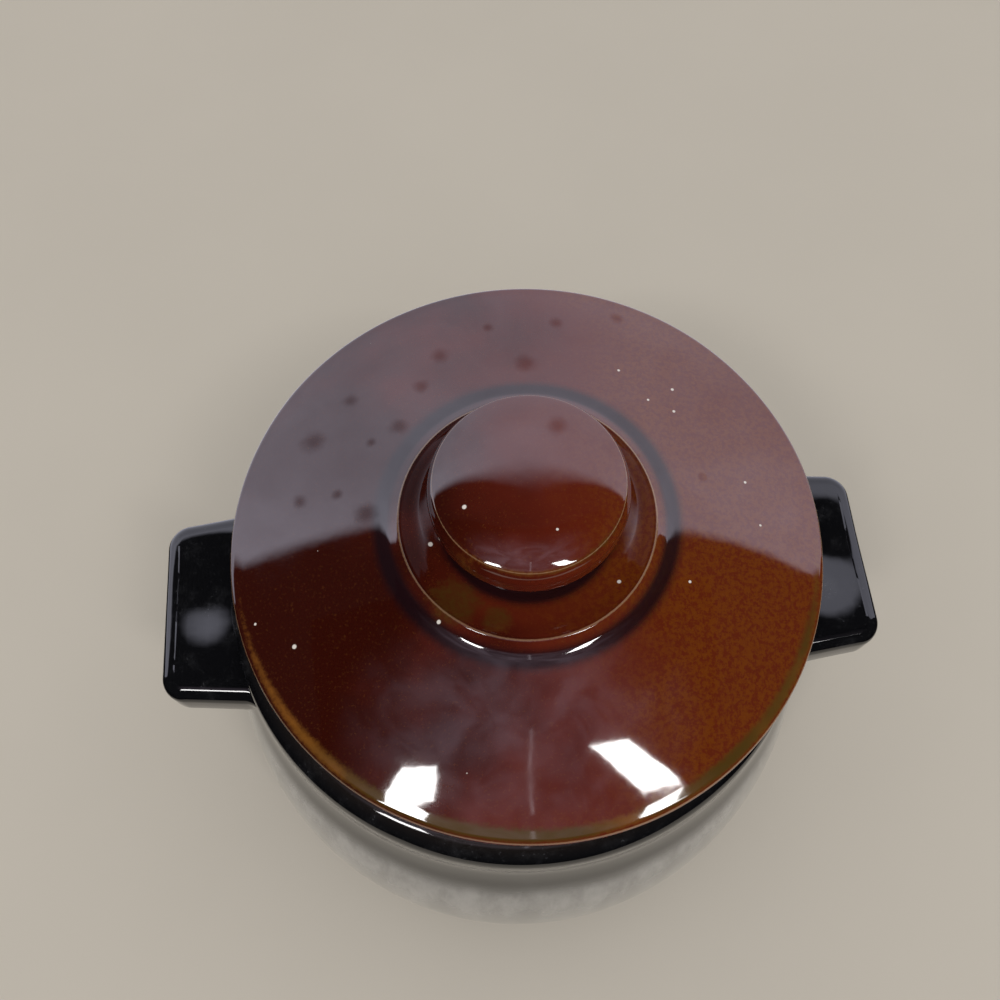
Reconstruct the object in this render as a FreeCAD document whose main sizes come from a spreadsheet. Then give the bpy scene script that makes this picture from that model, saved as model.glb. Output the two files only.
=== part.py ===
import FreeCAD, Part
import math
import os
import Sketcher

# Stoneware bean pot: a bellied pot with a rolled rim and two lug handles, and a domed lift-off lid
# with a drum knob. Millimetres, +Z up, the origin at the centre of the foot's standing ring.
# The handles lie along X. Radii are from the pot's axis, or from the lid's own axis on the lid.

doc = FreeCAD.newDocument("bean_pot")
sizes = doc.addObject("Spreadsheet::Sheet", "Sizes")

driving = {
    # Pot: mouth, rolled rim, neck, belly and foot
    "mouth_radius": 69.0,
    "rim_roll": 7.0,
    "rim_height": 133.0,
    "neck_drop": 20.0,
    "neck_spread": 0.8,
    "belly_swell": 11.7,
    "belly_height": 42.0,
    "wall": 6.8,
    "foot_inset": 25.5,
    "foot_edge": 1.6,
    "foot_ring_width": 7.0,
    "foot_recess": 2.5,
    "lower_wall_height": 8.0,
    "lower_wall_spread": 6.0,
    "floor_thickness": 7.0,
    "floor_inset": 10.0,
    # Handles: two lugs whose flat tops lie level with the neck, flared a little where they meet it
    "handle_projection": 23.3,
    "handle_embed": 13.8,
    "handle_width": 59.5,
    "handle_tip_width": 55.5,
    "handle_flare": 7.0,
    "handle_flare_round": 12.0,
    "handle_thickness": 17.0,
    "handle_corner": 7.5,
    "handle_top_round": 4.5,
    "handle_under_round": 5.5,
    # Lid: overhanging edge, dome, raised ring with a dished thumb groove, and the locating flange below
    "lid_gap": 0.3,
    "lid_overhang": 7.7,
    "lid_under_edge": 1.2,
    "lid_side": 0.9,
    "lid_top_round": 2.2,
    "dome_centre": 0.9,
    "dome_rise": 16.0,
    "ring_foot_radius": 38.6,
    "ring_slope": 3.4,
    "ring_rise": 2.3,
    "ring_land": 0.7,
    "groove_run": 7.0,
    "groove_depth": 2.4,
    "lid_thickness": 6.2,
    "flange_play": 8.0,
    "flange_width": 6.0,
    "flange_depth": 7.5,
    "under_dome_radius": 30.0,
    "lid_shift_x": 2.6,
    "lid_shift_y": 5.5,
    # Knob: a drum with a bulged side and a slightly crowned top, waisted where it meets the lid
    "knob_waist_radius": 20.2,
    "knob_foot_spread": 0.8,
    "knob_swell": 6.0,
    "knob_edge_inset": 1.6,
    "knob_waist_rise": 3.8,
    "knob_bulge_rise": 14.0,
    "knob_edge_rise": 6.6,
    "knob_crown": 2.6,
}

# Sums of sizes that several outlines share
rim_centre = "mouth_radius + rim_roll"
rim_outer = rim_centre + " + rim_roll"
roll_level = "rim_height - rim_roll"
neck = rim_outer + " + neck_spread"
neck_level = "rim_height - neck_drop"
belly = neck + " + belly_swell"
foot = belly + " - foot_inset"
lid_under = "rim_height + lid_gap"
lid_outer = rim_centre + " + lid_overhang"
ring_foot_level = lid_under + " + dome_rise"
ring_level = ring_foot_level + " + ring_rise"
groove_level = ring_level + " - groove_depth"

# How closely an edge's place must match when it is picked for rounding
match = 0.01

for row, (alias, size) in enumerate(driving.items(), start=1):
    sizes.set(f"A{row}", alias.replace("_", " "))
    sizes.set(f"B{row}", str(size))
    sizes.setAlias(f"B{row}", alias)
doc.recompute()


def number(text):
    """The value of a sum of sizes, such as rim_height - rim_roll."""
    total = 0.0
    sign = 1.0
    for word in text.split():
        if word in "+-":
            sign = 1.0 if word == "+" else -1.0
        else:
            total += sign * sizes.get(word)
    return total


def bound(text):
    """The same sum as an expression that the document keeps up to date."""
    return " ".join(word if word in "+-" else "Sizes." + word for word in text.split())


def origin_plane(body, role):
    return next(plane for plane in body.Origin.OriginFeatures if plane.Role == role)


def new_sketch(body, name, role):
    sketch = body.newObject("Sketcher::SketchObject", name)
    sketch.AttachmentSupport = (origin_plane(body, role), [""])
    sketch.MapMode = "FlatFace"
    return sketch


def pin(sketch, geometry, end, across, up):
    """Fix a point of the sketch by its two distances; "axis" and "base" put it on the sketch's axes."""
    for kind, text in (("DistanceX", across), ("DistanceY", up)):
        if text in ("axis", "base"):
            line = -2 if text == "axis" else -1
            sketch.addConstraint(Sketcher.Constraint("PointOnObject", geometry, end, line))
        else:
            index = sketch.addConstraint(Sketcher.Constraint(kind, geometry, end, number(text)))
            sketch.setExpression(f"Constraints[{index}]", bound(text))


def place(point):
    across, up = (0.0 if text in ("axis", "base") else number(text) for text in point)
    return FreeCAD.Vector(across, up, 0)


def arc_between(start, end, side, level):
    """The shorter arc from start to end whose centre is known in one direction only."""
    step = end - start
    reach = (end.dot(end) - start.dot(start)) / 2
    if side == "centre_up":
        centre = FreeCAD.Vector((reach - step.y * level) / step.x, level, 0)
    else:
        centre = FreeCAD.Vector(level, (reach - step.x * level) / step.y, 0)
    first, last = start - centre, end - centre
    turns_left = first.cross(last).z > 0
    if not turns_left:
        first, last = last, first
    circle = Part.Circle(centre, FreeCAD.Vector(0, 0, 1), first.Length)
    arc = Part.ArcOfCircle(circle, math.atan2(first.y, first.x), math.atan2(last.y, last.x))
    return arc, turns_left


def draw(sketch, points):
    """A closed outline. A point is (across, up), or (across, up, side, size) where an arc ends there:
    side names the direction in which the arc's centre is fixed, and size the sum that fixes it."""
    starts = []
    ends = []
    for index, point in enumerate(points):
        start = place(points[index - 1][:2])
        end = place(point[:2])
        if len(point) == 2:
            geometry = sketch.addGeometry(Part.LineSegment(start, end))
            starts.append((geometry, 1))
            ends.append((geometry, 2))
        else:
            arc, turns_left = arc_between(start, end, point[2], number(point[3]))
            geometry = sketch.addGeometry(arc)
            starts.append((geometry, 1 if turns_left else 2))
            ends.append((geometry, 2 if turns_left else 1))
            kind = "DistanceY" if point[2] == "centre_up" else "DistanceX"
            index = sketch.addConstraint(Sketcher.Constraint(kind, geometry, 3, number(point[3])))
            sketch.setExpression(f"Constraints[{index}]", bound(point[3]))
    for index, point in enumerate(points):
        following = starts[(index + 1) % len(points)]
        sketch.addConstraint(Sketcher.Constraint("Coincident", *ends[index], *following))
        pin(sketch, *ends[index], *point[:2])


def turned(name, points):
    """A body made by turning an outline about the vertical axis."""
    body = doc.addObject("PartDesign::Body", name)
    body.Label = name
    sketch = new_sketch(body, name + "_outline", "XZ_Plane")
    draw(sketch, points)
    turn = body.newObject("PartDesign::Revolution", name + "_turned")
    turn.Profile = sketch
    turn.ReferenceAxis = (sketch, ["V_Axis"])
    turn.Angle = 360
    return body


# The outer wall runs up from the foot through the belly to the neck, and rolls over at the rim.
wall_to_neck = [
    (foot + " - foot_edge", "base"),
    (foot, "foot_edge", "centre_across", foot + " - foot_edge"),
    (foot + " + lower_wall_spread", "lower_wall_height"),
    (belly, "belly_height", "centre_up", "belly_height"),
    (neck, neck_level, "centre_up", "belly_height"),
]
rolled_rim = [
    (rim_outer, roll_level),
    (rim_centre, "rim_height", "centre_up", roll_level),
    (rim_centre + " - rim_roll", roll_level, "centre_up", roll_level),
]
inner_wall = [
    (neck + " - wall", neck_level),
    (belly + " - wall", "belly_height", "centre_up", "belly_height"),
    (foot + " - floor_inset", "floor_thickness", "centre_up", "belly_height"),
]
foot_underside = [
    ("axis", "floor_thickness"),
    ("axis", "foot_recess"),
    (foot + " - foot_ring_width - foot_recess", "foot_recess"),
    (foot + " - foot_ring_width", "base"),
]
pot_body = turned("pot_body", wall_to_neck + rolled_rim + inner_wall + foot_underside)


def edges_where(feature, wanted):
    """Names of the feature's edges whose bounding boxes are wanted."""
    doc.recompute()
    return [f"Edge{index}" for index, edge in enumerate(feature.Shape.Edges, start=1)
            if wanted(edge.BoundBox)]


def rounded(body, name, base, size, wanted):
    fillet = body.newObject("PartDesign::Fillet", name)
    fillet.Base = (base, edges_where(base, wanted))
    fillet.setExpression("Radius", bound(size))
    return fillet


def lug_handle(name, half_turn):
    """A flat-topped lug: its plan padded downwards, the edges rounded and the pot's wall cut away."""
    root = neck + " - handle_embed"
    reach = neck + " + handle_projection"
    corners = [
        (root, "handle_width + handle_flare + handle_flare"),
        (neck, "handle_width"),
        (reach, "handle_tip_width"),
    ]
    body = doc.addObject("PartDesign::Body", name)
    body.Label = name
    plan = new_sketch(body, name + "_plan", "XY_Plane")
    plan.setExpression(".AttachmentOffset.Base.z", bound(neck_level))
    points = [FreeCAD.Vector(number(across), side * number(width) / 2, 0)
              for side, row in ((1, corners), (-1, corners[::-1])) for across, width in row]
    for index, point in enumerate(points):
        plan.addGeometry(Part.LineSegment(point, points[(index + 1) % len(points)]))
    for index, point in enumerate(points):
        plan.addConstraint(Sketcher.Constraint("Coincident", index, 2, (index + 1) % len(points), 1))
        across, width = (corners + corners[::-1])[index]
        far = plan.addConstraint(Sketcher.Constraint("DistanceX", index, 1, number(across)))
        plan.setExpression(f"Constraints[{far}]", bound(across))
        side = 1 if index < len(corners) else -1
        half = plan.addConstraint(Sketcher.Constraint("DistanceY", index, 1, side * number(width) / 2))
        plan.setExpression(f"Constraints[{half}]", f"{side} * ({bound(width)}) / 2")
    pad = body.newObject("PartDesign::Pad", name + "_pad")
    pad.Profile = plan
    pad.Reversed = True
    pad.setExpression("Length", bound("handle_thickness"))

    def upright_at(across):
        return lambda box: abs(box.XMin - number(across)) < match and box.ZLength > match

    def level_at(height):
        return lambda box: (abs(box.ZMax - number(height)) < match and box.ZLength < match
                            and box.XMax > number(root) + match)

    tip = rounded(body, name + "_corners", pad, "handle_corner", upright_at(reach))
    flare = rounded(body, name + "_flare", tip, "handle_flare_round", upright_at(neck))
    top = rounded(body, name + "_top", flare, "handle_top_round", level_at(neck_level))
    rounded(body, name + "_under", top, "handle_under_round", level_at(neck_level + " - handle_thickness"))
    wall = new_sketch(body, name + "_wall", "XZ_Plane")
    draw(wall, wall_to_neck + [(neck, "rim_height"), ("axis", "rim_height"), ("axis", "base")])
    seat = body.newObject("PartDesign::Groove", name + "_seat")
    seat.Profile = wall
    seat.ReferenceAxis = (wall, ["V_Axis"])
    seat.Angle = 360
    if half_turn:
        body.Placement = FreeCAD.Placement(FreeCAD.Vector(), FreeCAD.Rotation(180, 0, 0))
    return body


handle_right = lug_handle("handle_right", False)
handle_left = lug_handle("handle_left", True)

# Lid: it lies on the crown of the rolled rim, and its flange hangs inside the mouth with wide play.
flange_outer = "mouth_radius - flange_play"
flange_inner = flange_outer + " - flange_width"
flange_level = lid_under + " - flange_depth"
lid_ceiling = groove_level + " - lid_thickness"
side_level = lid_under + " + lid_under_edge"
ring_inner = "ring_foot_radius - ring_slope - ring_land"
groove_radius = ring_inner + " - groove_run"
lid = turned("lid", [
    (lid_outer + " - lid_under_edge", lid_under),
    (lid_outer, side_level, "centre_across", lid_outer + " - lid_under_edge"),
    (lid_outer, side_level + " + lid_side"),
    (lid_outer + " - lid_top_round", side_level + " + lid_side + lid_top_round",
     "centre_across", lid_outer + " - lid_top_round"),
    ("ring_foot_radius", ring_foot_level, "centre_across", "dome_centre"),
    ("ring_foot_radius - ring_slope", ring_level),
    (ring_inner, ring_level),
    (groove_radius, groove_level, "centre_across", groove_radius),
    ("axis", groove_level),
    ("axis", lid_ceiling),
    ("under_dome_radius", lid_ceiling),
    (flange_inner, lid_under),
    (flange_inner, flange_level),
    (flange_outer, flange_level),
    (flange_outer, lid_under),
])

waist_level = groove_level + " + knob_waist_rise"
bulge_level = waist_level + " + knob_bulge_rise"
edge_level = bulge_level + " + knob_edge_rise"
bulge = "knob_waist_radius + knob_swell"
knob = turned("lid_knob", [
    ("axis", groove_level),
    ("knob_waist_radius + knob_foot_spread", groove_level),
    ("knob_waist_radius", waist_level),
    (bulge, bulge_level, "centre_up", bulge_level),
    (bulge + " - knob_edge_inset", edge_level, "centre_up", bulge_level),
    ("axis", edge_level + " + knob_crown"),
])

for piece in (lid, knob):
    piece.setExpression(".Placement.Base.x", bound("lid_shift_x"))
    piece.setExpression(".Placement.Base.y", bound("lid_shift_y"))
doc.recompute()

nodes = [pot_body, handle_left, handle_right, lid, knob]
for item in doc.Objects:
    if "Invalid" in item.State or "Error" in item.State:
        raise RuntimeError(f"{item.Name} failed: {item.State}")
for node in nodes:
    if node.Shape.isNull() or not node.Shape.isValid():
        raise RuntimeError(f"{node.Label} has no valid shape")

os.makedirs("parts", exist_ok=True)
for node in nodes:
    node.Shape.exportStep(f"parts/{node.Label}.step")
    box = node.Shape.BoundBox
    print(f"{node.Label}: {node.Shape.Volume / 1000:.1f} cm3, z {box.ZMin:.1f} to {box.ZMax:.1f}, "
          f"x {box.XMin:.1f} to {box.XMax:.1f}, solids {len(node.Shape.Solids)}")
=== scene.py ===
import bpy
import math
from mathutils import Matrix, Vector, noise


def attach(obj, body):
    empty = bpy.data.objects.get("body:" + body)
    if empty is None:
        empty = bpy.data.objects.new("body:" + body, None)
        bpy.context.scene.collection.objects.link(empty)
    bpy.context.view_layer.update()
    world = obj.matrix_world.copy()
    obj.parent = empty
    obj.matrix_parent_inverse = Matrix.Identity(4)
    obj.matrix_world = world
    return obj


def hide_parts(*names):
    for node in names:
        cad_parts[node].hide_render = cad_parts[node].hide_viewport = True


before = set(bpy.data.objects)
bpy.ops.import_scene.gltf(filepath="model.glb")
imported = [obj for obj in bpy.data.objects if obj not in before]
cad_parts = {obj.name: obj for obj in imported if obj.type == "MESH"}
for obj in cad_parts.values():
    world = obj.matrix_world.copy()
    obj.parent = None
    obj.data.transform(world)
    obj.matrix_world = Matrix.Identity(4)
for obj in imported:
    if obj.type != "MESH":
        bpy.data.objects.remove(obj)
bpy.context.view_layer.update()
mm = 0.001
print("frame loaded:", ", ".join(sorted(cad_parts)))

# The glaze is thin over edges, shows the clay as a pale line on the crispest, and gathers in hollows.
markNames = ("thin", "line", "pooled")

# The camera stands where the photograph was taken: its place is worked out from the lid's circles.
view = {
    "place": (-12.6, -96.7, 400.1),                 # millimetres
    "pitch": 66.67, "turn": 4.4, "roll": -0.49,     # degrees: down, to the right, and about the view
    "lens": 36.0, "sensor": 36.0,
    "pixels": 1000,                                 # the photograph's width and height
    "nearest": 0.01,                                # metres
}


def viewAxes():
    pitch, turn, roll = (math.radians(view[key]) for key in ("pitch", "turn", "roll"))
    ahead = Vector((math.sin(turn) * math.cos(pitch), math.cos(turn) * math.cos(pitch), -math.sin(pitch)))
    level = Vector((math.cos(turn), -math.sin(turn), 0))
    above = level.cross(ahead)
    right = level * math.cos(roll) + above * math.sin(roll)
    up = above * math.cos(roll) - level * math.sin(roll)
    return right, up, ahead


def makeCamera():
    right, up, ahead = viewAxes()
    data = bpy.data.cameras.new("photoView")
    data.lens = view["lens"]
    data.sensor_width = view["sensor"]
    data.sensor_fit = "HORIZONTAL"
    data.clip_start = view["nearest"]
    camera = bpy.data.objects.new("photoView", data)
    bpy.context.scene.collection.objects.link(camera)
    aim = Matrix((right, up, -ahead)).transposed().to_4x4()
    camera.matrix_world = Matrix.Translation(Vector(view["place"]) * mm) @ aim
    bpy.context.scene.camera = camera


# Outlines are lists of (radius, height, softness) in millimetres, turned about a piece's own axis.
def sweep(centre, start, end, softness, count):
    radius = math.hypot(start[0] - centre[0], start[1] - centre[1])
    first = math.atan2(start[1] - centre[1], start[0] - centre[0])
    last = math.atan2(end[1] - centre[1], end[0] - centre[0])
    angles = [first + (last - first) * step / count for step in range(1, count + 1)]
    return [(centre[0] + radius * math.cos(angle), centre[1] + radius * math.sin(angle), softness)
            for angle in angles]


# An arc whose centre lies at a known height, and one whose centre is a known distance from the axis.
def arcLevel(start, end, level, softness, count=24):
    across = end[0] ** 2 - start[0] ** 2 + (end[1] - level) ** 2 - (start[1] - level) ** 2
    return sweep((across / (2 * (end[0] - start[0])), level), start, end, softness, count)


def centreLevel(start, end, across):
    level = end[1] ** 2 - start[1] ** 2 + (end[0] - across) ** 2 - (start[0] - across) ** 2
    return level / (2 * (end[1] - start[1]))


def arcAcross(start, end, across, softness, count=24):
    return sweep((across, centreLevel(start, end, across)), start, end, softness, count)


# The glaze softens every corner: the outline is sampled finely, then averaged over each corner's softness.
def glazedOutline(corners, spacing=0.25, widest=2.5):
    samples = []
    for start, end in zip(corners, corners[1:]):
        count = max(1, round(math.hypot(end[0] - start[0], end[1] - start[1]) / spacing))
        for step in range(count):
            samples.append([a + (b - a) * step / count for a, b in zip(start, end)])
    samples.append(list(corners[-1]))
    last = len(samples) - 1
    softened = []
    for index, (radius, height, softness) in enumerate(samples):
        if softness < spacing or index in (0, last):
            softened.append((radius, height))
            continue
        reach = int(widest * softness / spacing)
        sums = [0.0, 0.0, 0.0]
        for shift in range(-reach, reach + 1):
            other = index + shift
            side = 1.0
            if other < 0 or other > last:
                other = -other if other < 0 else 2 * last - other
                side = -1.0
            weight = math.exp(-0.5 * (shift * spacing / softness) ** 2)
            sums[0] += side * samples[other][0] * weight
            sums[1] += samples[other][1] * weight
            sums[2] += weight
        softened.append((abs(sums[0]) / sums[2], sums[1] / sums[2]))
    return softened


# How close each point of the outline lies to one of the named places (radius, height, reach): 0 to 1.
def closeness(points, places):
    values = []
    for radius, height in points:
        gaps = [math.hypot(radius - place[0], height - place[1]) / place[2] for place in places]
        values.append(max((math.exp(-gap * gap) for gap in gaps), default=0.0))
    return values


def thinOut(points, marks, mostTurn=4.0, longest=1.6):
    kept = [0]
    heading = None
    for index in range(1, len(points) - 1):
        last, here, after = points[kept[-1]], points[index], points[index + 1]
        direction = math.atan2(after[1] - here[1], after[0] - here[0])
        if heading is None:
            heading = direction
        bend = abs((math.degrees(direction - heading) + 180) % 360 - 180)
        if bend > mostTurn or math.hypot(here[0] - last[0], here[1] - last[1]) > longest:
            kept.append(index)
            heading = direction
    kept.append(len(points) - 1)
    return [points[k] for k in kept], [[mark[k] for k in kept] for mark in marks]


def newPiece(name, vertices, faces, marks, material, body, node):
    mesh = bpy.data.meshes.new(name)
    mesh.from_pydata(vertices, [], faces)
    mesh.shade_smooth()
    for markName, values in zip(markNames, marks):
        layer = mesh.attributes.new(markName, "FLOAT", "POINT")
        layer.data.foreach_set("value", values)
    mesh.materials.append(material)
    piece = bpy.data.objects.new(name, mesh)
    bpy.context.scene.collection.objects.link(piece)
    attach(piece, body)
    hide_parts(node)
    return piece


# Vertices, faces and marks of an outline turned about an axis, with a slight hand-made waver.
def turned(corners, places, centre, segments, waver, onAxis=0.01):
    fine = glazedOutline(corners)
    points, marks = thinOut(fine, [closeness(fine, places.get(mark, [])) for mark in markNames])
    vertices, faces, rings = [], [], []
    values = [[] for _ in markNames]
    for index, (radius, height) in enumerate(points):
        rings.append(len(vertices))
        before, after = points[max(0, index - 1)], points[min(len(points) - 1, index + 1)]
        along = Vector((after[0] - before[0], 0, after[1] - before[1])).normalized()
        for step in range(1 if radius < onAxis else segments):
            angle = 2 * math.pi * step / segments
            across, up = math.cos(angle), math.sin(angle)
            spot = Vector((radius * across, radius * up, height))
            swell = noise.noise(spot * waver["scale"] + Vector((waver["seed"], 0, 0)))
            push = waver["depth"] * (swell - 1) / 2
            spot += Vector((push * along.z * across, push * along.z * up, -push * along.x))
            vertices.append((spot + Vector((*centre, 0))) * mm)
            for mark, sink in zip(marks, values):
                sink.append(mark[index])
    for low, high, lowPoint, highPoint in zip(rings, rings[1:], points, points[1:]):
        for step in range(segments):
            following = (step + 1) % segments
            if lowPoint[0] < onAxis:
                faces.append((low, high + following, high + step))
            elif highPoint[0] < onAxis:
                faces.append((low + step, low + following, high))
            else:
                faces.append((low + step, low + following, high + following, high + step))
    return vertices, faces, values


# Sizes are in millimetres, and the names that start with soft say how far the glaze rounds a corner.
pot = {
    "foot": 70.0, "footRing": 7.0, "footEdge": 1.6, "recess": 2.5,
    "lower": 76.0, "lowerHeight": 8.0,
    "belly": 95.45, "bellyHeight": 42.0,
    "neck": 83.8, "neckHeight": 113.0,
    "rimCentre": 76.0, "rimRoll": 7.0, "rimHeight": 133.0, "rollSteps": 12,
    "wall": 6.8, "floor": 7.0, "floorRadius": 60.0,
    "softFoot": 0.6, "softRing": 0.4, "softWall": 3.0, "softNeck": 6.0, "softUnderRim": 2.5,
    "softRim": 0.5, "softInside": 4.0,
    "thinRim": 3.0, "thinFoot": 2.0,        # how far the glaze is thin about the rim and the foot's edge
    "segments": 256, "waver": {"scale": 0.02, "seed": 3.1, "depth": 0.25},
}


def makePot():
    belly = (pot["belly"], pot["bellyHeight"])
    neck = (pot["neck"], pot["neckHeight"])
    insideBelly = (pot["belly"] - pot["wall"], pot["bellyHeight"])
    insideNeck = (pot["neck"] - pot["wall"], pot["neckHeight"])
    rollLevel = pot["rimHeight"] - pot["rimRoll"]
    rollCentre = (pot["rimCentre"], rollLevel)
    outer = (pot["rimCentre"] + pot["rimRoll"], rollLevel)
    crown = (pot["rimCentre"], pot["rimHeight"])
    inner = (pot["rimCentre"] - pot["rimRoll"], rollLevel)
    lower = (pot["lower"], pot["lowerHeight"])
    ringInside = pot["foot"] - pot["footRing"]
    corners = [
        (0, pot["recess"], pot["softFoot"]),
        (ringInside - pot["recess"], pot["recess"], pot["softFoot"]),
        (ringInside, 0, pot["softRing"]),
        (pot["foot"] - pot["footEdge"], 0, pot["softRing"]),
        (pot["foot"], pot["footEdge"], pot["softFoot"]),
        (*lower, pot["softWall"]),
    ]
    corners += arcLevel(lower, belly, belly[1], pot["softWall"])
    corners += arcLevel(belly, neck, belly[1], pot["softNeck"])
    corners.append((*outer, pot["softUnderRim"]))
    corners += sweep(rollCentre, outer, crown, pot["softRim"], pot["rollSteps"])
    corners += sweep(rollCentre, crown, inner, pot["softRim"], pot["rollSteps"])
    corners.append((*insideNeck, pot["softInside"]))
    corners += arcLevel(insideNeck, insideBelly, belly[1], pot["softInside"])
    corners += arcLevel(insideBelly, (pot["floorRadius"], pot["floor"]), belly[1], pot["softInside"])
    corners.append((0, pot["floor"], pot["softInside"]))
    places = {"thin": [(*crown, pot["thinRim"]), (pot["foot"], pot["footEdge"], pot["thinFoot"])]}
    form = turned(corners, places, (0, 0), pot["segments"], pot["waver"])
    piece = newPiece("potShell", *form, blackGlaze, "pot", "pot_body")


lid = {
    "centre": (2.6, 5.5),                    # the lid lies off the pot's axis
    "under": 133.3, "underEdge": 1.2, "side": 83.7, "sideTop": 135.4, "topRound": 2.2, "roundSteps": 8,
    "ringFoot": 38.6, "ringFootHeight": 149.3, "ring": 35.2, "ringHeight": 151.6, "ringLand": 0.7,
    "groove": 27.5, "grooveHeight": 149.2, "thickness": 6.2, "domeCentre": 0.9,
    "flange": 61.0, "flangeWidth": 6.0, "flangeDepth": 7.5, "underDome": 30.0,
    "softUnder": 3.0, "softFlangeRoot": 1.5, "softFlange": 0.8, "softUnderEdge": 0.5, "softSide": 0.35,
    "softEdge": 0.5, "softDome": 1.2, "softRing": 0.3, "softGroove": 1.0, "softMiddle": 2.0,
    # Marks on the glaze: how far across and up from their corner, then how far they reach.
    "thinEdge": (-0.2, 0.1, 2.2), "lineRing": (-0.3, 0.0, 0.4), "lineEdge": (1.9, -1.1, 0.45),
    "pooledFoot": (1.0, -0.4, 2.8),
    "thinFlange": 2.0, "pooledAt": 22.5, "pooledGroove": 2.4,
    "segments": 288, "waver": {"scale": 0.03, "seed": 7.7, "depth": 0.3},
}


def domeEnds():
    edge = (lid["side"] - lid["topRound"], lid["sideTop"] + lid["topRound"])
    return edge, (lid["ringFoot"], lid["ringFootHeight"])


def beside(corner, mark):
    return corner[0] + mark[0], corner[1] + mark[1], mark[2]


def makeLid():
    inside = lid["flange"] - lid["flangeWidth"]
    hanging = lid["under"] - lid["flangeDepth"]
    edge, foot = domeEnds()
    ring = (lid["ring"], lid["ringHeight"])
    land = (lid["ring"] - lid["ringLand"], lid["ringHeight"])
    groove = (lid["groove"], lid["grooveHeight"])
    ceiling = lid["grooveHeight"] - lid["thickness"]
    corners = [
        (0, ceiling, lid["softUnder"]),
        (lid["underDome"], ceiling, lid["softUnder"]),
        (inside, lid["under"], lid["softFlangeRoot"]),
        (inside, hanging, lid["softFlange"]),
        (lid["flange"], hanging, lid["softFlange"]),
        (lid["flange"], lid["under"], lid["softFlange"]),
        (lid["side"] - lid["underEdge"], lid["under"], lid["softUnderEdge"]),
        (lid["side"], lid["under"] + lid["underEdge"], lid["softUnderEdge"]),
        (lid["side"], lid["sideTop"], lid["softSide"]),
    ]
    side = (lid["side"], lid["sideTop"])
    corners += arcLevel(side, edge, side[1], lid["softEdge"], lid["roundSteps"])
    corners += arcAcross(edge, foot, lid["domeCentre"], lid["softDome"])
    corners += [(*ring, lid["softRing"]), (*land, lid["softRing"])]
    corners += arcAcross(land, groove, groove[0], lid["softGroove"])
    corners.append((0, groove[1], lid["softMiddle"]))
    places = {
        "thin": [beside(edge, lid["thinEdge"]), (lid["flange"], hanging, lid["thinFlange"]),
                 (inside, hanging, lid["thinFlange"])],
        "line": [beside(ring, lid["lineRing"]), beside(edge, lid["lineEdge"])],
        "pooled": [beside(foot, lid["pooledFoot"]), (lid["pooledAt"], groove[1], lid["pooledGroove"])],
    }
    form = turned(corners, places, lid["centre"], lid["segments"], lid["waver"])
    piece = newPiece("lidDome", *form, brownGlaze, "lid", "lid")


def lidTopAt(radius):
    edge, foot = domeEnds()
    if radius < foot[0]:
        return lid["grooveHeight"]
    level = centreLevel(edge, foot, lid["domeCentre"])
    domeRadius = math.hypot(edge[0] - lid["domeCentre"], edge[1] - level)
    return level + math.sqrt(domeRadius ** 2 - (radius - lid["domeCentre"]) ** 2)


knob = {
    "base": 149.2, "foot": 21.0, "waist": 20.2, "waistHeight": 153.0,
    "bulge": 26.15, "bulgeHeight": 167.0, "edge": 24.5, "edgeHeight": 172.9, "top": 176.15,
    "shoulder": 3.7,      # power of the crown's curve: nearly flat in the middle, steep by the edge
    "softWaist": 1.5, "softBulge": 0.6, "softEdge": 0.3, "softCrown": 0.6,
    "thinEdge": 1.6, "lineEdge": 0.28, "pooledWaist": 5.0,
    "edgeSteps": 12, "crownSteps": 20,
    "segments": 192, "waver": {"scale": 0.05, "seed": 11.3, "depth": 0.12},
}


def crownDrop(share):
    return (knob["top"] - knob["edgeHeight"]) * share ** knob["shoulder"]


def makeKnob():
    waist = (knob["waist"], knob["waistHeight"])
    bulge = (knob["bulge"], knob["bulgeHeight"])
    edge = (knob["edge"], knob["edgeHeight"])
    corners = [(0, knob["base"], 0), (knob["foot"], knob["base"], 0), (*waist, knob["softWaist"])]
    corners += arcLevel(waist, bulge, bulge[1], knob["softWaist"])
    corners += arcLevel(bulge, edge, bulge[1], knob["softBulge"], knob["edgeSteps"])
    corners[-1] = (*edge, knob["softEdge"])
    for step in range(1, knob["crownSteps"] + 1):
        share = 1 - step / knob["crownSteps"]
        corners.append((knob["edge"] * share, knob["top"] - crownDrop(share), knob["softCrown"]))
    places = {
        "thin": [(*edge, knob["thinEdge"])],
        "line": [(*edge, knob["lineEdge"])],
        "pooled": [(*waist, knob["pooledWaist"])],
    }
    form = turned(corners, places, lid["centre"], knob["segments"], knob["waver"])
    piece = newPiece("drumKnob", *form, brownGlaze, "lid", "lid_knob")


def knobTopAt(radius):
    return knob["top"] - crownDrop(min(1.0, radius / knob["edge"]))


# Where a mark seen at a pixel of the photograph lies on the knob's top, or else on the lid: its place
# from above, to the nearest millimetre.
def onLid(across, down, rounds=8):
    right, up, ahead = viewAxes()
    eye = Vector(view["place"])
    middle = view["pixels"] / 2
    focal = view["pixels"] * view["lens"] / view["sensor"]
    ray = ahead * focal + right * (across - middle) + up * (middle - down)
    for topAt in (knobTopAt, lidTopAt):
        radius = 0.0
        for _ in range(rounds):
            spot = eye + ray * ((topAt(radius) - eye.z) / ray.z)
            radius = math.hypot(spot.x - lid["centre"][0], spot.y - lid["centre"][1])
        if topAt is knobTopAt and radius < knob["edge"]:
            break
    return round(spot.x), round(spot.y)


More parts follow.
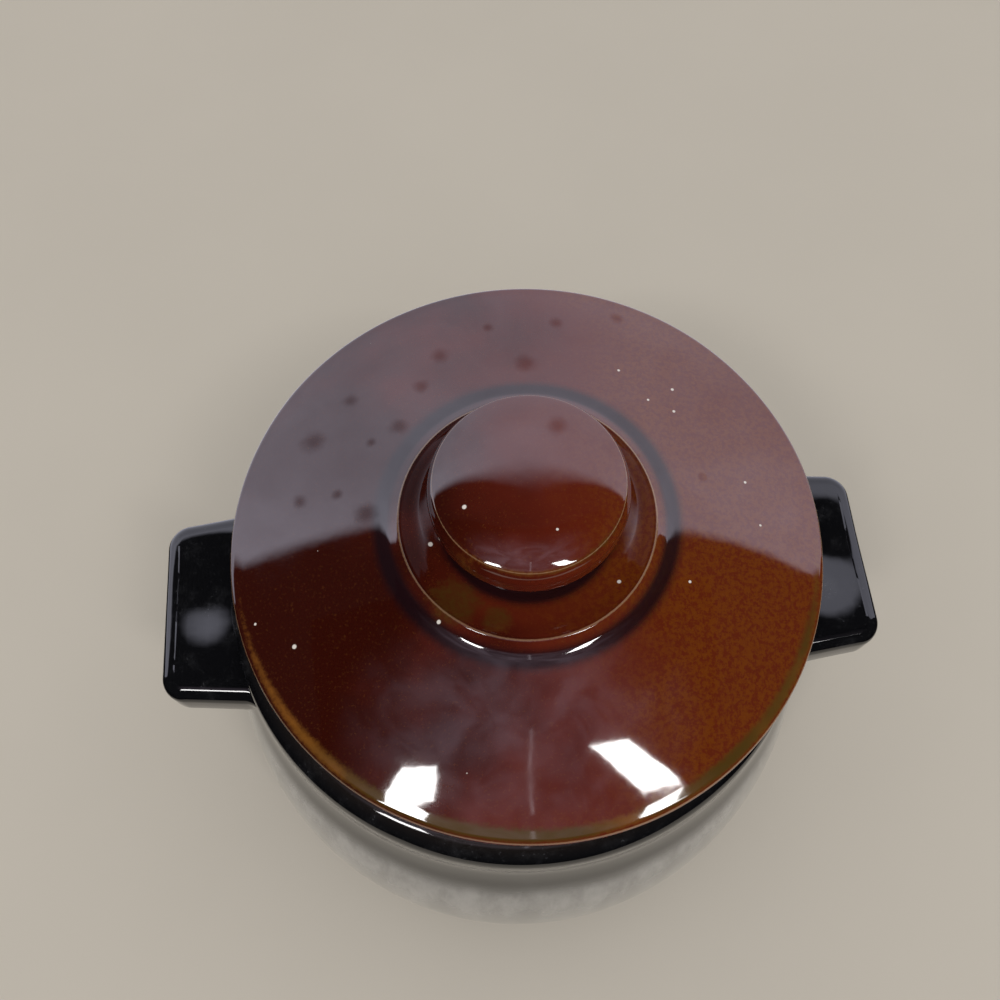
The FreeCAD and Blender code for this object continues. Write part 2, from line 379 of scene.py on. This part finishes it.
handle = {
    "reach": 107.0, "width": 59.4, "tipWidth": 55.4, "thickness": 16.9, "top": 112.95,
    "corner": 7.5, "flare": 5.0, "root": 76.0, "rootInset": 4.0, "topRound": 4.5, "underRound": 5.5,
    "flareAway": 0.9, "rootFlare": 0.85,            # shares of the flare
    "flareStart": 190, "flareTurn": 78, "cornerTurn": 88,            # degrees
    "flareSteps": 12, "sideSteps": 6, "cornerSteps": 14, "tipSteps": 12, "roundSteps": 12, "across": 24,
    "hollow": 1.6, "hollowAcross": 10.5, "hollowAlong": 15.0,        # the thumb's shallow dip in the top
    "unevenDepth": 0.12, "unevenScale": 0.05,
}


# Half of the handle's plan, from the wall to the middle of the tip: flare, side, corner, tip.
def handlePlan():
    half, tipHalf = handle["width"] / 2, handle["tipWidth"] / 2
    wallAcross = math.sqrt(pot["neck"] ** 2 - half ** 2)
    flareCentre = (wallAcross + handle["flare"] * handle["flareAway"], half + handle["flare"])
    points = [(handle["root"] - handle["rootInset"], half + handle["flare"] * handle["rootFlare"])]
    for step in range(handle["flareSteps"] + 1):
        angle = math.radians(handle["flareStart"] + handle["flareTurn"] * step / handle["flareSteps"])
        points.append((flareCentre[0] + handle["flare"] * math.cos(angle),
                       flareCentre[1] + handle["flare"] * math.sin(angle)))
    cornerAcross = handle["reach"] - handle["corner"]
    for step in range(1, handle["sideSteps"]):
        share = step / handle["sideSteps"]
        points.append((flareCentre[0] + (cornerAcross - flareCentre[0]) * share,
                       half + (tipHalf - half) * share))
    for step in range(handle["cornerSteps"] + 1):
        angle = math.radians(handle["cornerTurn"] - handle["cornerTurn"] * step / handle["cornerSteps"])
        points.append((cornerAcross + handle["corner"] * math.cos(angle),
                       tipHalf - handle["corner"] + handle["corner"] * math.sin(angle)))
    for step in range(1, handle["tipSteps"]):
        points.append((handle["reach"], (tipHalf - handle["corner"]) * (1 - step / handle["tipSteps"])))
    return points


def insetPlan(plan, inset):
    moved = []
    for index, point in enumerate(plan):
        before, after = plan[max(0, index - 1)], plan[min(len(plan) - 1, index + 1)]
        along = Vector((after[0] - before[0], after[1] - before[1])).normalized()
        moved.append((point[0] + along.y * inset, point[1] - along.x * inset))
    return moved


# The levels of the handle's side, from its top face over both rounded edges to the underside.
def handleLevels():
    levels = []
    for size, face, down in ((handle["topRound"], handle["top"], -1),
                             (handle["underRound"], handle["top"] - handle["thickness"], 1)):
        arc = []
        for step in range(handle["roundSteps"] + 1):
            angle = math.radians(90 * step / handle["roundSteps"])
            arc.append((size * (1 - math.sin(angle)), face + down * size * (1 - math.cos(angle))))
        levels += arc if down < 0 else arc[::-1]
    return levels


# The side is a band round the plan, and both faces are rows of quads from one edge to the other.
def makeHandle(name, node, turn, seed, hollowShift):
    half = handlePlan()
    plan = half + [(handle["reach"], 0)] + [(x, -y) for x, y in reversed(half)]
    levels = handleLevels()
    count = len(plan)
    vertices = [(x, y, height) for inset, height in levels for x, y in insetPlan(plan, inset)]
    faces = []
    for ring in range(len(levels) - 1):
        for index in range(ring * count, ring * count + count - 1):
            faces.append((index, index + count, index + count + 1, index + 1))
    across = handle["across"]
    for start, order in ((0, 1), ((len(levels) - 1) * count, -1)):
        rows = []
        for index in range(count // 2):
            first, last = Vector(vertices[start + index]), Vector(vertices[start + count - 1 - index])
            row = [start + index]
            for step in range(1, across):
                row.append(len(vertices))
                vertices.append(tuple(first.lerp(last, step / across)))
            rows.append(row + [start + count - 1 - index])
        for near, far in zip(rows, rows[1:]):
            for step in range(across):
                faces.append((near[step], far[step], far[step + 1], near[step + 1])[::order])
        for step in range(across):
            faces.append((rows[-1][step], start + count // 2, rows[-1][step + 1])[::order])
    spin = Matrix.Rotation(turn, 3, "Z")
    middle = (handle["reach"] + pot["neck"]) / 2 - 1
    scale = handle["unevenScale"]
    placed = []
    for x, y, z in vertices:
        onTop = max(0.0, 1 - (handle["top"] - z) / handle["topRound"])
        away = ((x - middle) / handle["hollowAcross"]) ** 2
        away += ((y - hollowShift) / handle["hollowAlong"]) ** 2
        sag = handle["hollow"] * math.exp(-away) * onTop
        swell = noise.noise(Vector((x * scale, y * scale, z * scale + seed)))
        uneven = handle["unevenDepth"] * (swell - 1)
        placed.append(spin @ Vector((x + uneven, y, z + uneven - sag)) * mm)
    marks = [[0.0] * len(placed) for _ in markNames]
    piece = newPiece(name, placed, faces, marks, blackGlaze, "pot", node)


# Shader nodes: a value that is a socket is linked, and any other is set.
def addNode(tree, kind, inputs=None, **settings):
    node = tree.nodes.new(kind)
    for key, value in settings.items():
        setattr(node, key, value)
    for key, value in (inputs or {}).items():
        setInput(tree, node, key, value)
    return node


def setInput(tree, node, name, value):
    if isinstance(value, bpy.types.NodeSocket):
        tree.links.new(value, node.inputs[name])
    else:
        node.inputs[name].default_value = value


def calc(tree, operation, *values, clamp=False):
    node = addNode(tree, "ShaderNodeMath", dict(enumerate(values)), operation=operation, use_clamp=clamp)
    return node.outputs[0]


def vectorCalc(tree, operation, *values):
    return addNode(tree, "ShaderNodeVectorMath", dict(enumerate(values)), operation=operation)


def rescale(tree, value, fromLow, fromHigh, toLow=0.0, toHigh=1.0):
    inputs = {"Value": value, "From Min": fromLow, "From Max": fromHigh, "To Min": toLow, "To Max": toHigh}
    return addNode(tree, "ShaderNodeMapRange", inputs, interpolation_type="SMOOTHSTEP").outputs[0]


def blend(tree, share, first, second):
    return addNode(tree, "ShaderNodeMix", {0: share, 6: first, 7: second}, data_type="RGBA").outputs[2]


# Noise whose scale is given per metre.
def grainOf(tree, spot, scale, detail=3.0, roughness=0.55, distortion=0.0):
    inputs = {"Vector": spot, "Scale": scale, "Detail": detail, "Roughness": roughness,
              "Distortion": distortion}
    return addNode(tree, "ShaderNodeTexNoise", inputs).outputs["Fac"]


# Round dots of varied size, at most one to a cell, in the share of the cells that rarity leaves.
def dots(tree, spot, cellsPerMetre, dotRadius, rarity, smallest=0.4, spread=0.8, solid=0.7):
    cells = addNode(tree, "ShaderNodeTexVoronoi", {"Vector": spot, "Scale": cellsPerMetre})
    chance = addNode(tree, "ShaderNodeSeparateColor", {"Color": cells.outputs["Color"]})
    size = calc(tree, "MULTIPLY_ADD", chance.outputs[1], dotRadius * spread, dotRadius * smallest)
    inside = calc(tree, "DIVIDE", cells.outputs["Distance"], calc(tree, "MULTIPLY", size, cellsPerMetre))
    shape = rescale(tree, inside, solid, 1.0, 1.0, 0.0)
    return calc(tree, "MULTIPLY", shape, calc(tree, "GREATER_THAN", chance.outputs[0], rarity))


# Soft round places (x, y, radius) seen from above, in millimetres, with uneven borders.
def patches(tree, spot, places, softness, borderGrain=260.0, borderShare=(0.9, 0.55)):
    wobble = calc(tree, "MULTIPLY_ADD", grainOf(tree, spot, borderGrain), *borderShare)
    total = None
    for x, y, radius in places:
        gap = vectorCalc(tree, "DISTANCE", spot, (x * mm, y * mm, 0)).outputs["Value"]
        gap = calc(tree, "MULTIPLY", gap, wobble)
        share = rescale(tree, gap, radius * mm * (1 - softness), radius * mm * (1 + softness), 1.0, 0.0)
        total = share if total is None else calc(tree, "MAXIMUM", total, share)
    return total


def newGlaze(name):
    material = bpy.data.materials.new(name)
    material.use_nodes = True
    tree = material.node_tree
    spot = addNode(tree, "ShaderNodeTexCoord").outputs["Object"]
    marks = [addNode(tree, "ShaderNodeAttribute", attribute_name=mark).outputs["Fac"] for mark in markNames]
    return material, tree, tree.nodes["Principled BSDF"], spot, marks


brownFinish = {
    "deep": (0.032, 0.0040, 0.0020, 1),      # thick glaze, nearly liver red
    "body": (0.108, 0.0130, 0.0056, 1),
    "warm": (0.150, 0.0340, 0.0045, 1),
    "amber": (0.200, 0.0720, 0.0120, 1),     # where the glaze thins over an edge
    "olive": (0.075, 0.0400, 0.0070, 1),
    "pool": (0.010, 0.0040, 0.0060, 1),      # where it gathers in a hollow
    "clay": (0.42, 0.27, 0.15, 1),           # clay showing through on a crisp edge
    "speck": (0.74, 0.68, 0.60, 1),
    "depth": 1.78,                           # refractive index: iron-rich glazes mirror strongly
    # Noises: their scale per metre, detail, roughness and distortion.
    "cloud": (16.0, 4.0), "mottle": (700.0, 4.0, 0.75), "fleck": (1500.0, 2.0), "haze": (60.0, 6.0, 0.7),
    "smear": (34.0, 5.0, 0.62, 0.6), "ripple": (110.0, 2.0),
    # Metres: the colour warms from left to right, and the edges thin from the back to the front.
    "warmAcross": (-0.060, 0.080), "thinAlong": (0.035, -0.055, 0.15, 1.0),
    # A noise or mark is taken times the first number plus the second.
    "warmCloud": (1.6, -0.8), "warmGrain": (0.9, 0.2), "rubbedCloud": (0.9, -0.8), "rubbedMottle": 0.7,
    "pooledMottle": 0.3, "lineFleck": 0.6, "lineShare": (0.3, 0.3), "level": (0.26, 0.36),
    # Where a colour or the haze starts and where it is full.
    "bodyRange": (0.0, 0.55), "grainRange": (0.40, 0.60), "warmRange": (0.35, 0.95),
    "fleckRange": (0.58, 0.72), "thinRange": (0.35, 1.0), "oliveRange": (0.42, 0.58),
    "pooledRange": (0.25, 1.0), "lineRange": (0.75, 1.15), "hazeRange": (0.45, 0.75),
    "fleckShare": 0.16, "pooledShare": 0.9, "patchShare": 0.62,
    "gloss": 0.045, "hazeDull": 0.045, "stainDull": 0.10, "speckDull": 0.5, "stainLevel": -0.24,
    "pit": -0.8, "bumpStrength": 0.10, "bumpDepth": 0.00022,
    # Scattered dots: cells per metre, radius in metres, and the share of the cells that stay empty.
    "fineSpecks": (110.0, 0.00022, 0.70), "fineStains": (55.0, 0.0016, 0.75), "fineStainShare": 0.5,
    # Dull stains and bare pinholes, read off the photograph: pixels, then the radius in millimetres.
    "stains": [(556, 323, 1.7), (488, 328, 1.4), (440, 357, 2.1), (421, 386, 1.9), (527, 363, 2.5),
               (371, 443, 1.1), (338, 493, 1.3), (397, 427, 2.1), (365, 513, 2.5), (313, 442, 2.7),
               (558, 427, 2.1), (616, 318, 1.6), (350, 400, 1.7), (300, 500, 1.6)],
    "pinholes": [(463, 507, 0.55), (429, 545, 0.6), (620, 582, 0.5), (439, 623, 0.5), (618, 371, 0.4),
                 (673, 412, 0.4), (295, 648, 0.6), (744, 483, 0.35), (673, 389, 0.4), (690, 581, 0.4),
                 (558, 529, 0.35), (254, 624, 0.35), (649, 400, 0.35), (762, 525, 0.35)],
    "stainSoftness": 0.85, "pinholeSoftness": 0.25, "patchSoftness": 0.6,
    "thinPatch": [(-19, -17, 8.0), (-8, -23, 5.0)],      # in the dish, in front of the knob: millimetres
}


def makeBrownGlaze():
    material, tree, shader, spot, (thin, line, pooled) = newGlaze("brownGlaze")
    finish = brownFinish
    cloud = grainOf(tree, spot, *finish["cloud"])
    mottle = grainOf(tree, spot, *finish["mottle"])
    fleck = grainOf(tree, spot, *finish["fleck"])
    above = vectorCalc(tree, "MULTIPLY", spot, (1, 1, 0)).outputs[0]
    place = addNode(tree, "ShaderNodeSeparateXYZ", {"Vector": spot}).outputs
    rightness = rescale(tree, place[0], *finish["warmAcross"])
    thin = calc(tree, "MULTIPLY", thin, rescale(tree, place[1], *finish["thinAlong"]))
    warm = calc(tree, "MULTIPLY_ADD", cloud, *finish["warmCloud"])
    warm = calc(tree, "ADD", rightness, warm, clamp=True)
    colour = blend(tree, rescale(tree, warm, *finish["bodyRange"]), finish["deep"], finish["body"])
    grain = calc(tree, "MULTIPLY_ADD", rescale(tree, mottle, *finish["grainRange"]), *finish["warmGrain"])
    warmShare = calc(tree, "MULTIPLY", rescale(tree, warm, *finish["warmRange"]), grain, clamp=True)
    colour = blend(tree, warmShare, colour, finish["warm"])
    fleckShare = calc(tree, "MULTIPLY", rescale(tree, fleck, *finish["fleckRange"]), finish["fleckShare"])
    colour = blend(tree, fleckShare, colour, finish["amber"])
    rubbed = calc(tree, "MULTIPLY_ADD", cloud, *finish["rubbedCloud"])
    rubbed = calc(tree, "MULTIPLY_ADD", mottle, finish["rubbedMottle"], rubbed)
    thinPatch = patches(tree, above, finish["thinPatch"], finish["patchSoftness"])
    thin = calc(tree, "MAXIMUM", thin, calc(tree, "MULTIPLY", thinPatch, finish["patchShare"]))
    thinShare = rescale(tree, calc(tree, "ADD", thin, rubbed), *finish["thinRange"])
    thinColour = blend(tree, rescale(tree, cloud, *finish["oliveRange"]), finish["amber"], finish["olive"])
    colour = blend(tree, thinShare, colour, thinColour)
    pooled = calc(tree, "MULTIPLY_ADD", mottle, finish["pooledMottle"], pooled)
    pooledShare = rescale(tree, pooled, *finish["pooledRange"])
    pooledShare = calc(tree, "MULTIPLY", pooledShare, finish["pooledShare"])
    colour = blend(tree, pooledShare, colour, finish["pool"])
    line = calc(tree, "MULTIPLY_ADD", fleck, finish["lineFleck"], line)
    worn = calc(tree, "MULTIPLY_ADD", rightness, *finish["lineShare"])
    lineShare = calc(tree, "MULTIPLY", rescale(tree, line, *finish["lineRange"]), worn)
    colour = blend(tree, lineShare, colour, finish["clay"])
    stainPlaces = [(*onLid(across, down), radius) for across, down, radius in finish["stains"]]
    pinholePlaces = [(*onLid(across, down), radius) for across, down, radius in finish["pinholes"]]
    specks = calc(tree, "MAXIMUM", dots(tree, above, *finish["fineSpecks"]),
                  patches(tree, above, pinholePlaces, finish["pinholeSoftness"]))
    colour = blend(tree, specks, colour, finish["speck"])
    setInput(tree, shader, "Base Color", colour)
    fineStains = calc(tree, "MULTIPLY", dots(tree, above, *finish["fineStains"]), finish["fineStainShare"])
    stains = calc(tree, "MAXIMUM", patches(tree, above, stainPlaces, finish["stainSoftness"]), fineStains)
    haze = rescale(tree, grainOf(tree, spot, *finish["haze"]), *finish["hazeRange"])
    roughness = calc(tree, "MULTIPLY_ADD", haze, finish["hazeDull"], finish["gloss"])
    roughness = calc(tree, "MULTIPLY_ADD", stains, finish["stainDull"], roughness)
    roughness = calc(tree, "MULTIPLY_ADD", specks, finish["speckDull"], roughness)
    setInput(tree, shader, "Roughness", roughness)
    level = calc(tree, "MULTIPLY_ADD", grainOf(tree, spot, *finish["smear"]), *finish["level"])
    level = calc(tree, "MULTIPLY_ADD", stains, finish["stainLevel"], level)
    setInput(tree, shader, "Specular IOR Level", level)
    height = calc(tree, "MULTIPLY_ADD", specks, finish["pit"], grainOf(tree, spot, *finish["ripple"]))
    bump = addNode(tree, "ShaderNodeBump", {"Height": height, "Strength": finish["bumpStrength"],
                                            "Distance": finish["bumpDepth"]})
    setInput(tree, shader, "Normal", bump.outputs[0])
    setInput(tree, shader, "IOR", finish["depth"])
    return material


blackFinish = {
    "glaze": (0.0040, 0.0040, 0.0048, 1),
    "dust": (0.15, 0.15, 0.16, 1),
    "thin": (0.022, 0.016, 0.013, 1),
    "dustAndPaintedSheen": (0.40, 0.39, 0.37, 1),           # dust and fine scratches, with a painted reflection of the pale floor, seen where the wall turns away
    "clay": (0.42, 0.30, 0.20, 1),
    "clayDark": (0.26, 0.17, 0.11, 1),
    "depth": 1.60,                           # refractive index
    # Noises: their scale per metre, detail and roughness.
    "haze": (70.0, 6.0, 0.72), "fleck": (1300.0, 2.0), "streak": (120.0, 5.0, 0.65), "unevenEdge": (60.0,),
    "grit": (900.0, 5.0, 0.7), "ripple": (95.0, 2.0),
    "hazeRange": (0.52, 0.80), "fleckRange": (0.62, 0.76), "fleckHaze": (0.6, 0.08), "hazeShare": 0.14,
    "pinholes": (60.0, 0.0006, 0.88), "pinholeShare": 0.7,
    "dustAndPaintedSheenTop": 0.107, "dustAndPaintedSheenFull": 0.093,     # metres: the dust and painted floor reflection fade out beside the handles
    "dustAndPaintedSheenFacing": (0.38, 0.85), "streakRange": (0.3, 0.7, 0.5, 0.85), "streakAlong": (1, 1, 0.1),
    "wipedNone": 0.0030, "wipedFull": 0.0026, "wipedUneven": 0.0015,      # metres: the bare standing ring
    "gloss": 0.045, "hazeDull": 0.06, "dustDull": 0.35, "clayDull": 0.75,
    "gritRelief": 0.8, "bumpStrength": 0.12, "bumpDepth": 0.00022,
}


def makeBlackGlaze():
    material, tree, shader, spot, (thin, *_) = newGlaze("blackGlaze")
    finish = blackFinish
    haze = rescale(tree, grainOf(tree, spot, *finish["haze"]), *finish["hazeRange"])
    fleck = rescale(tree, grainOf(tree, spot, *finish["fleck"]), *finish["fleckRange"])
    dust = calc(tree, "MULTIPLY", fleck, calc(tree, "MULTIPLY_ADD", haze, *finish["fleckHaze"]))
    dust = calc(tree, "MULTIPLY_ADD", haze, finish["hazeShare"], dust)
    colour = blend(tree, thin, finish["glaze"], finish["thin"])
    colour = blend(tree, dust, colour, finish["dust"])
    pinholes = calc(tree, "MULTIPLY", dots(tree, spot, *finish["pinholes"]), finish["pinholeShare"])
    colour = blend(tree, pinholes, colour, brownFinish["speck"])
    height = addNode(tree, "ShaderNodeSeparateXYZ", {"Vector": spot}).outputs[2]
    # Painted reflection: where the wall is seen edge-on below the handles it is mixed towards pale grey, in
    # streaks, to stand in for the mirrored floor; dust and fine scratches are part of it
    facing = addNode(tree, "ShaderNodeLayerWeight", {"Blend": 0.5}).outputs["Facing"]
    upright = vectorCalc(tree, "MULTIPLY", spot, finish["streakAlong"]).outputs[0]
    streak = rescale(tree, grainOf(tree, upright, *finish["streak"]), *finish["streakRange"])
    dustAndPaintedSheen = calc(tree, "MULTIPLY", rescale(tree, facing, *finish["dustAndPaintedSheenFacing"]), streak)
    dustAndPaintedSheen = calc(tree, "MULTIPLY", dustAndPaintedSheen, rescale(tree, height, finish["dustAndPaintedSheenTop"], finish["dustAndPaintedSheenFull"]))
    colour = blend(tree, dustAndPaintedSheen, colour, finish["dustAndPaintedSheen"])
    uneven = grainOf(tree, spot, *finish["unevenEdge"])
    uneven = calc(tree, "MULTIPLY_ADD", uneven, finish["wipedUneven"], height)
    wiped = rescale(tree, uneven, finish["wipedNone"], finish["wipedFull"])
    grit = grainOf(tree, spot, *finish["grit"])
    colour = blend(tree, wiped, colour, blend(tree, grit, finish["clayDark"], finish["clay"]))
    setInput(tree, shader, "Base Color", colour)
    roughness = calc(tree, "MULTIPLY_ADD", haze, finish["hazeDull"], finish["gloss"])
    roughness = calc(tree, "MULTIPLY_ADD", dust, finish["dustDull"], roughness)
    roughness = calc(tree, "MULTIPLY_ADD", wiped, finish["clayDull"], roughness, clamp=True)
    setInput(tree, shader, "Roughness", roughness)
    relief = calc(tree, "MULTIPLY_ADD", calc(tree, "MULTIPLY", grit, wiped), finish["gritRelief"],
                  grainOf(tree, spot, *finish["ripple"]))
    bump = addNode(tree, "ShaderNodeBump", {"Height": relief, "Strength": finish["bumpStrength"],
                                            "Distance": finish["bumpDepth"]})
    setInput(tree, shader, "Normal", bump.outputs[0])
    setInput(tree, shader, "IOR", finish["depth"])
    return material


studio = {
    "floor": (0.60, 0.55, 0.47, 1), "floorSize": 3.0, "floorRough": 0.6,
    "floorCloud": (6.0, 4.0), "floorTone": (0.3, 0.7, 0.97, 1.0),
    "roomDark": (0.012, 0.012, 0.013, 1),    # what the glaze mirrors
    "roomFill": (0.66, 0.66, 0.67, 1),       # what lights the pot
    "backdrop": (0.86, 0.88, 0.91, 1),       # what the camera sees beyond the floor
}


def flatSheet(name, outline, material):
    mesh = bpy.data.meshes.new(name)
    mesh.from_pydata([Vector(corner) * mm for corner in outline], [], [tuple(range(len(outline)))])
    mesh.materials.append(material)
    sheet = bpy.data.objects.new(name, mesh)
    bpy.context.scene.collection.objects.link(sheet)
    return sheet


def makeFloor():
    material = bpy.data.materials.new("paleFloor")
    material.use_nodes = True
    tree = material.node_tree
    shader = tree.nodes["Principled BSDF"]
    spot = addNode(tree, "ShaderNodeTexCoord").outputs["Object"]
    tone = rescale(tree, grainOf(tree, spot, *studio["floorCloud"]), *studio["floorTone"])
    inputs = {0: studio["floor"][:3], "Scale": tone}
    colour = addNode(tree, "ShaderNodeVectorMath", inputs, operation="SCALE")
    setInput(tree, shader, "Base Color", colour.outputs[0])
    setInput(tree, shader, "Roughness", studio["floorRough"])
    setInput(tree, shader, "Specular IOR Level", 0.0)
    half = studio["floorSize"] / 2 / mm
    flatSheet("floor", [(-half, -half, 0), (half, -half, 0), (half, half, 0), (-half, half, 0)], material)


# Sheets that only the glaze sees, outlined in millimetres: a pale card behind the pot, two bright panels
# that also light it, a dim cloudy sheet overhead with a brighter slit below it, and black sheets that
# darken the far floor.
glows = {
    "bounceWall": {"colour": (0.84, 0.84, 1.0), "strength": 1.62, "fade": "card", "outline": [
        (-800, 130, 1), (800, 130, 1), (800, 130, 650), (-800, 130, 300)]},
    "windowLeft": {"colour": (1.0, 0.98, 0.97), "strength": 22.0, "lights": True, "outline": [
        (-1250, -1190, 2000), (-720, -1170, 2000), (-640, -870, 2000), (-930, -880, 2000)]},
    "windowRight": {"colour": (1.0, 0.98, 0.97), "strength": 22.0, "lights": True, "outline": [
        (780, -1220, 2000), (1120, -1180, 2000), (650, -810, 2000), (380, -830, 2000)]},
    "ceiling": {"colour": (0.98, 0.82, 1.0), "strength": 0.50, "fade": "cloud", "outline": [
        (-1700, -1900, 2100), (1500, -1900, 2100), (1500, 300, 2100), (-1700, 300, 2100)]},
    "slit": {"colour": (1.0, 0.90, 1.0), "strength": 1.5, "outline": [
        (-52, -1290, 2050), (-28, -1290, 2050), (19, -700, 2050), (-2, -700, 2050)]},
    "darkFront": {"colour": (0, 0, 0), "strength": 0.0, "outline": [
        (-1500, -1500, 1), (1500, -1500, 1), (1500, -340, 1), (-1500, -340, 1)]},
    "darkLeft": {"colour": (0, 0, 0), "strength": 0.0, "outline": [
        (-1500, -340, 1), (-215, -340, 1), (-215, 1500, 1), (-1500, 1500, 1)]},
    "darkRight": {"colour": (0, 0, 0), "strength": 0.0, "outline": [
        (240, -340, 1), (1500, -340, 1), (1500, 1500, 1), (240, 1500, 1)]},
}

fades = {
    # Two places in metres, then the brightness at each: across the card, up it, and at its sloping top.
    "cardAcross": (-0.35, 0.05, 1.18, 0.88), "cardUp": (0.12, 0.36, 0.72, 1.0),
    "cardSlope": -0.22, "cardTop": (0.410, 0.475, 1.0, 0.0),
    # The same from the middle of the cloudy sheet out, as shares of the sheet.
    "edges": (0.1, 0.5, 1.0, 0.0),
    # Noises, written as in brownFinish, and what they do to the brightness.
    "cardCloud": (9.0, 3.0), "cardCloudShare": (0.3, 0.85),
    "cloud": (2.6, 5.0, 0.6, 0.8), "cloudRange": (0.35, 0.68, 0.35, 1.3),
}


# The card is brighter on the left and higher up, with a soft sloping top. A cloudy sheet fades out
# towards its edges.
def fadeOf(tree, kind):
    coordinates = addNode(tree, "ShaderNodeTexCoord").outputs
    if kind == "card":
        place = addNode(tree, "ShaderNodeSeparateXYZ", {"Vector": coordinates["Object"]}).outputs
        across = rescale(tree, place[0], *fades["cardAcross"])
        up = rescale(tree, place[2], *fades["cardUp"])
        slope = calc(tree, "MULTIPLY_ADD", place[0], fades["cardSlope"], place[2])
        up = calc(tree, "MULTIPLY", up, rescale(tree, slope, *fades["cardTop"]))
        cloud = grainOf(tree, coordinates["Object"], *fades["cardCloud"])
        cloud = calc(tree, "MULTIPLY_ADD", cloud, *fades["cardCloudShare"])
        return calc(tree, "MULTIPLY", calc(tree, "MULTIPLY", across, up), cloud)
    level = vectorCalc(tree, "MULTIPLY", coordinates["Generated"], (1, 1, 0)).outputs[0]
    gap = vectorCalc(tree, "DISTANCE", level, (0.5, 0.5, 0)).outputs["Value"]
    cloud = rescale(tree, grainOf(tree, coordinates["Object"], *fades["cloud"]), *fades["cloudRange"])
    return calc(tree, "MULTIPLY", rescale(tree, gap, *fades["edges"]), cloud)


def makeGlows():
    for name, glow in glows.items():
        material = bpy.data.materials.new(name)
        material.use_nodes = True
        tree = material.node_tree
        tree.nodes.remove(tree.nodes["Principled BSDF"])
        strength = glow["strength"]
        if "fade" in glow:
            strength = calc(tree, "MULTIPLY", fadeOf(tree, glow["fade"]), strength)
        light = addNode(tree, "ShaderNodeEmission", {"Color": (*glow["colour"], 1), "Strength": strength})
        tree.links.new(light.outputs[0], tree.nodes["Material Output"].inputs[0])
        sheet = flatSheet(name, glow["outline"], material)
        sheet.visible_camera = False
        sheet.visible_shadow = False
        sheet.visible_diffuse = glow.get("lights", False)


def makeWorld():
    world = bpy.data.worlds.new("studio")
    world.use_nodes = True
    bpy.context.scene.world = world
    tree = world.node_tree
    path = addNode(tree, "ShaderNodeLightPath")
    colour = blend(tree, path.outputs["Is Glossy Ray"], studio["roomFill"], studio["roomDark"])
    colour = blend(tree, path.outputs["Is Camera Ray"], colour, studio["backdrop"])
    tree.links.new(colour, tree.nodes["Background"].inputs["Color"])


brownGlaze = makeBrownGlaze()
blackGlaze = makeBlackGlaze()
print("glazes ready")
makePot()
print("pot turned")
makeLid()
print("lid turned")
makeKnob()
print("knob turned")
makeHandle("handleRight", "handle_right", turn=0.0, seed=1.7, hollowShift=0.0)
makeHandle("handleLeft", "handle_left", turn=math.pi, seed=5.2, hollowShift=-3.0)
print("handles formed")
makeFloor()
makeGlows()
makeWorld()
makeCamera()
bpy.context.scene.view_settings.view_transform = "Standard"
print("studio ready")
